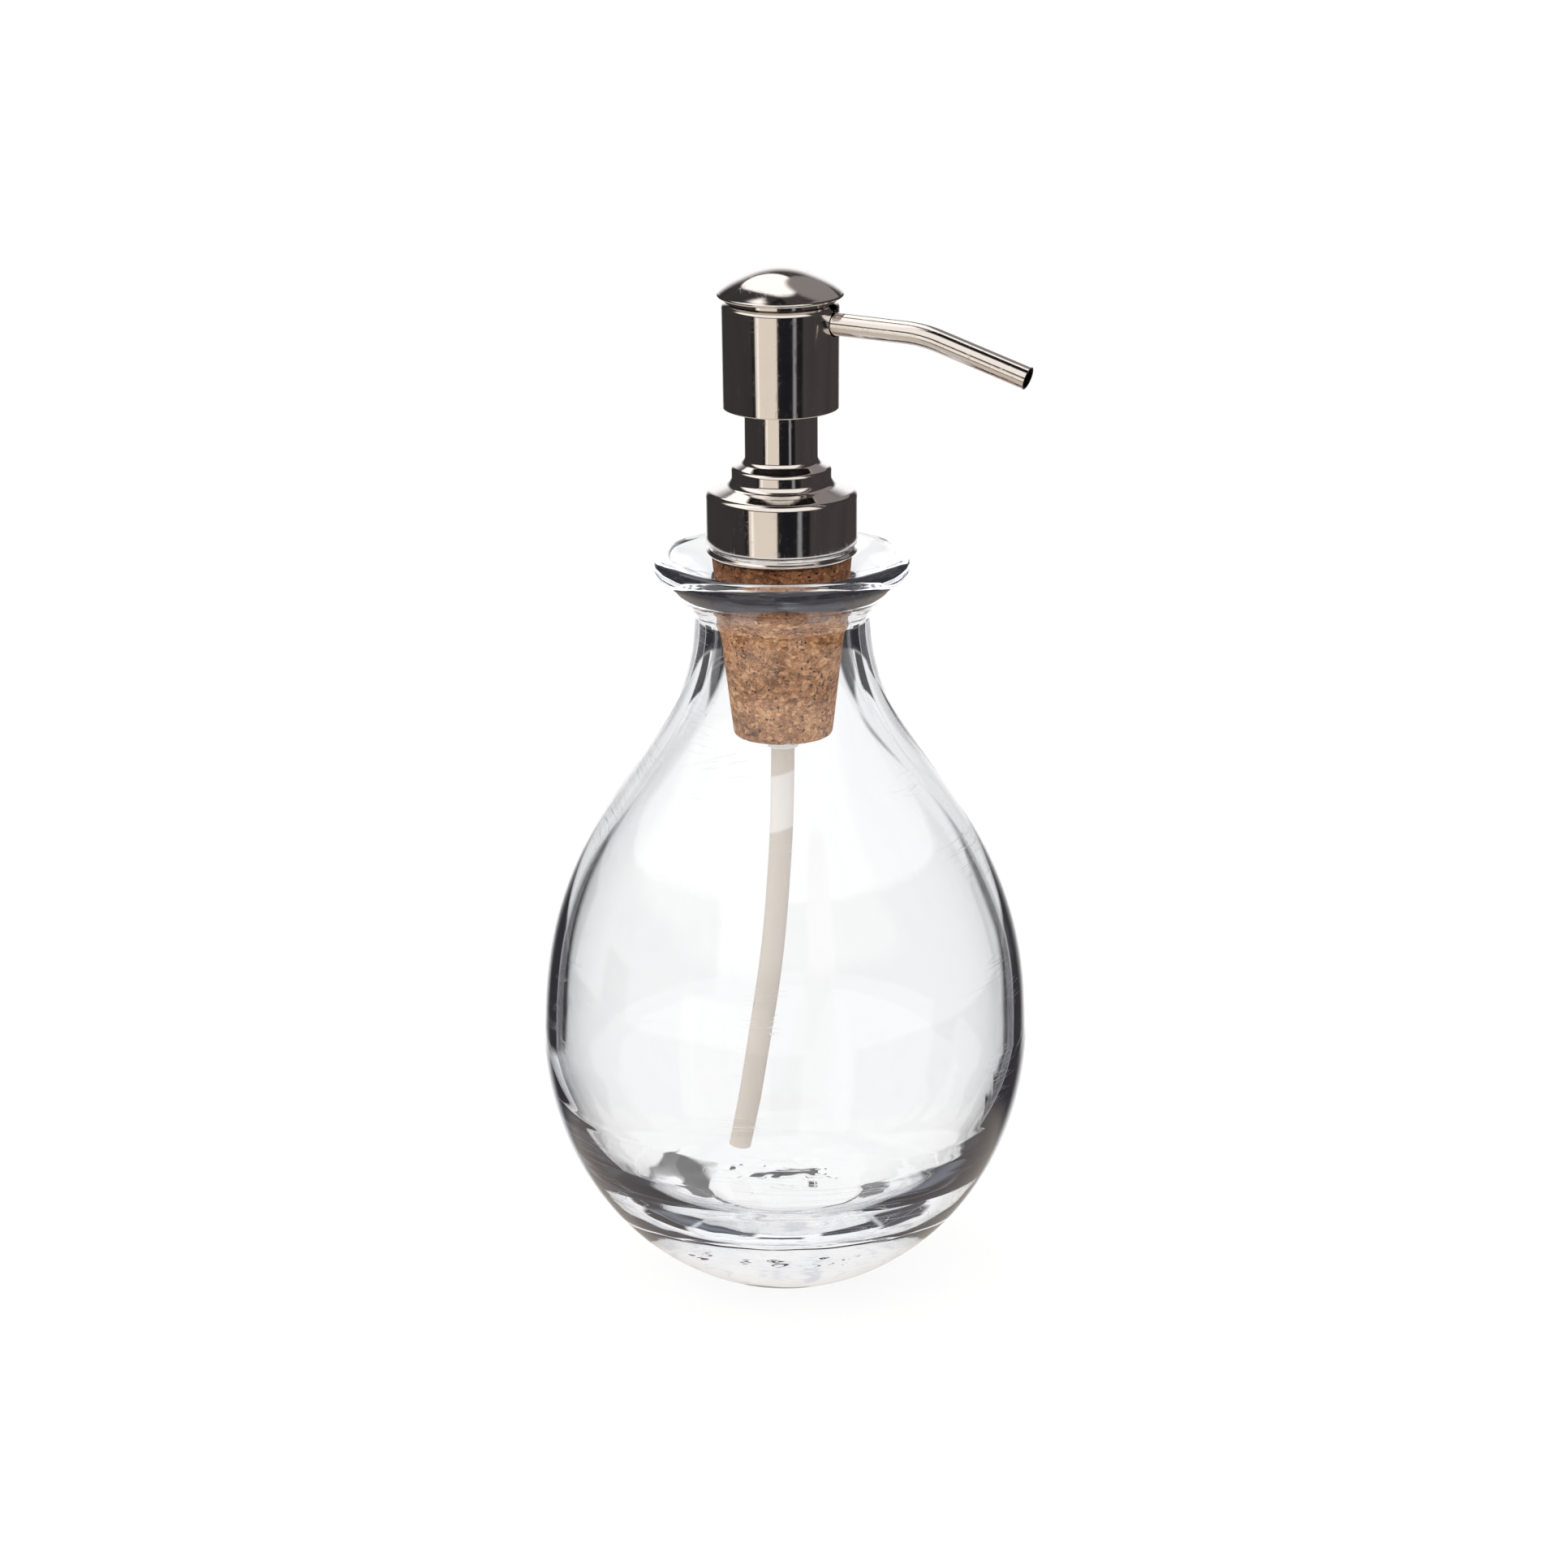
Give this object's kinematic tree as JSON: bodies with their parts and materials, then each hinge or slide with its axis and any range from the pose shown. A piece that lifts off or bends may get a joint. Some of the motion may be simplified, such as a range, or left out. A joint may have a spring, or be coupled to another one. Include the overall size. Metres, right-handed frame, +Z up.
{
  "type": "soap pump dispenser",
  "caption": "Round-bellied clear glass bottle with a flared lip, a tapered cork stopper and a polished steel lotion pump with a bent spout.",
  "frame": {"origin": "centre of the bottle's flat foot, on the bottle's axis", "axes": "+Z up along the bottle's axis, +X along the spout"},
  "size_m": [0.1078, 0.1036, 0.2205],
  "materials": {
    "clear_glass": "clear, fire-polished",
    "cork": "agglomerated cork, open grain",
    "polished_steel": "polished stainless steel with fine scratches",
    "ball_steel": "ground bearing ball",
    "spring_steel": "drawn wire",
    "white_plastic": "natural moulded polypropylene",
    "black_plastic": "dark moulded polypropylene",
    "soft_plastic": "soft moulded polythene",
    "seal_foam": "closed-cell foam",
    "tube_plastic": "milky extruded polythene"
  },
  "bodies": {
    "bottle": {"glass_bottle": "clear_glass"},
    "stopper": {"cork_stopper": "cork", "cork_bushing": "white_plastic", "gasket": "seal_foam", "closure": "black_plastic", "collar_shell": "polished_steel", "pump_housing": "white_plastic", "chaplet": "white_plastic", "sleeve_bush": "white_plastic", "ball_cage": "white_plastic", "return_spring": "spring_steel", "dip_tube": "tube_plastic"},
    "inlet_valve": {"inlet_ball": "ball_steel"},
    "plunger": {"stem": "white_plastic", "piston": "soft_plastic", "retainer": "white_plastic"},
    "outlet_valve": {"outlet_ball": "ball_steel"},
    "head": {"actuator_core": "black_plastic", "head_shell": "polished_steel", "dome_cap": "polished_steel", "spout_tube": "polished_steel"}
  },
  "joints": [
    {"name": "lift_out", "type": "slide", "parent": "bottle", "child": "stopper", "axis": [0, 0, 1], "range_m": [0, 0.15]},
    {"name": "press", "type": "slide", "parent": "stopper", "child": "plunger", "axis": [0, 0, -1], "range_m": [0, 0.009], "stiffness_N_per_m": 400, "springref_m": -0.01, "deforming": ["return_spring"]},
    {"name": "swivel", "type": "hinge", "parent": "plunger", "child": "head", "pos_m": [0, 0, 0.2], "axis": [0, 0, 1], "continuous": true},
    {"name": "inlet_lift", "type": "slide", "parent": "stopper", "child": "inlet_valve", "axis": [0, 0, 1], "range_m": [0, 0.0019]},
    {"name": "outlet_lift", "type": "slide", "parent": "plunger", "child": "outlet_valve", "axis": [0, 0, 1], "range_m": [0, 0.0015]}
  ]
}
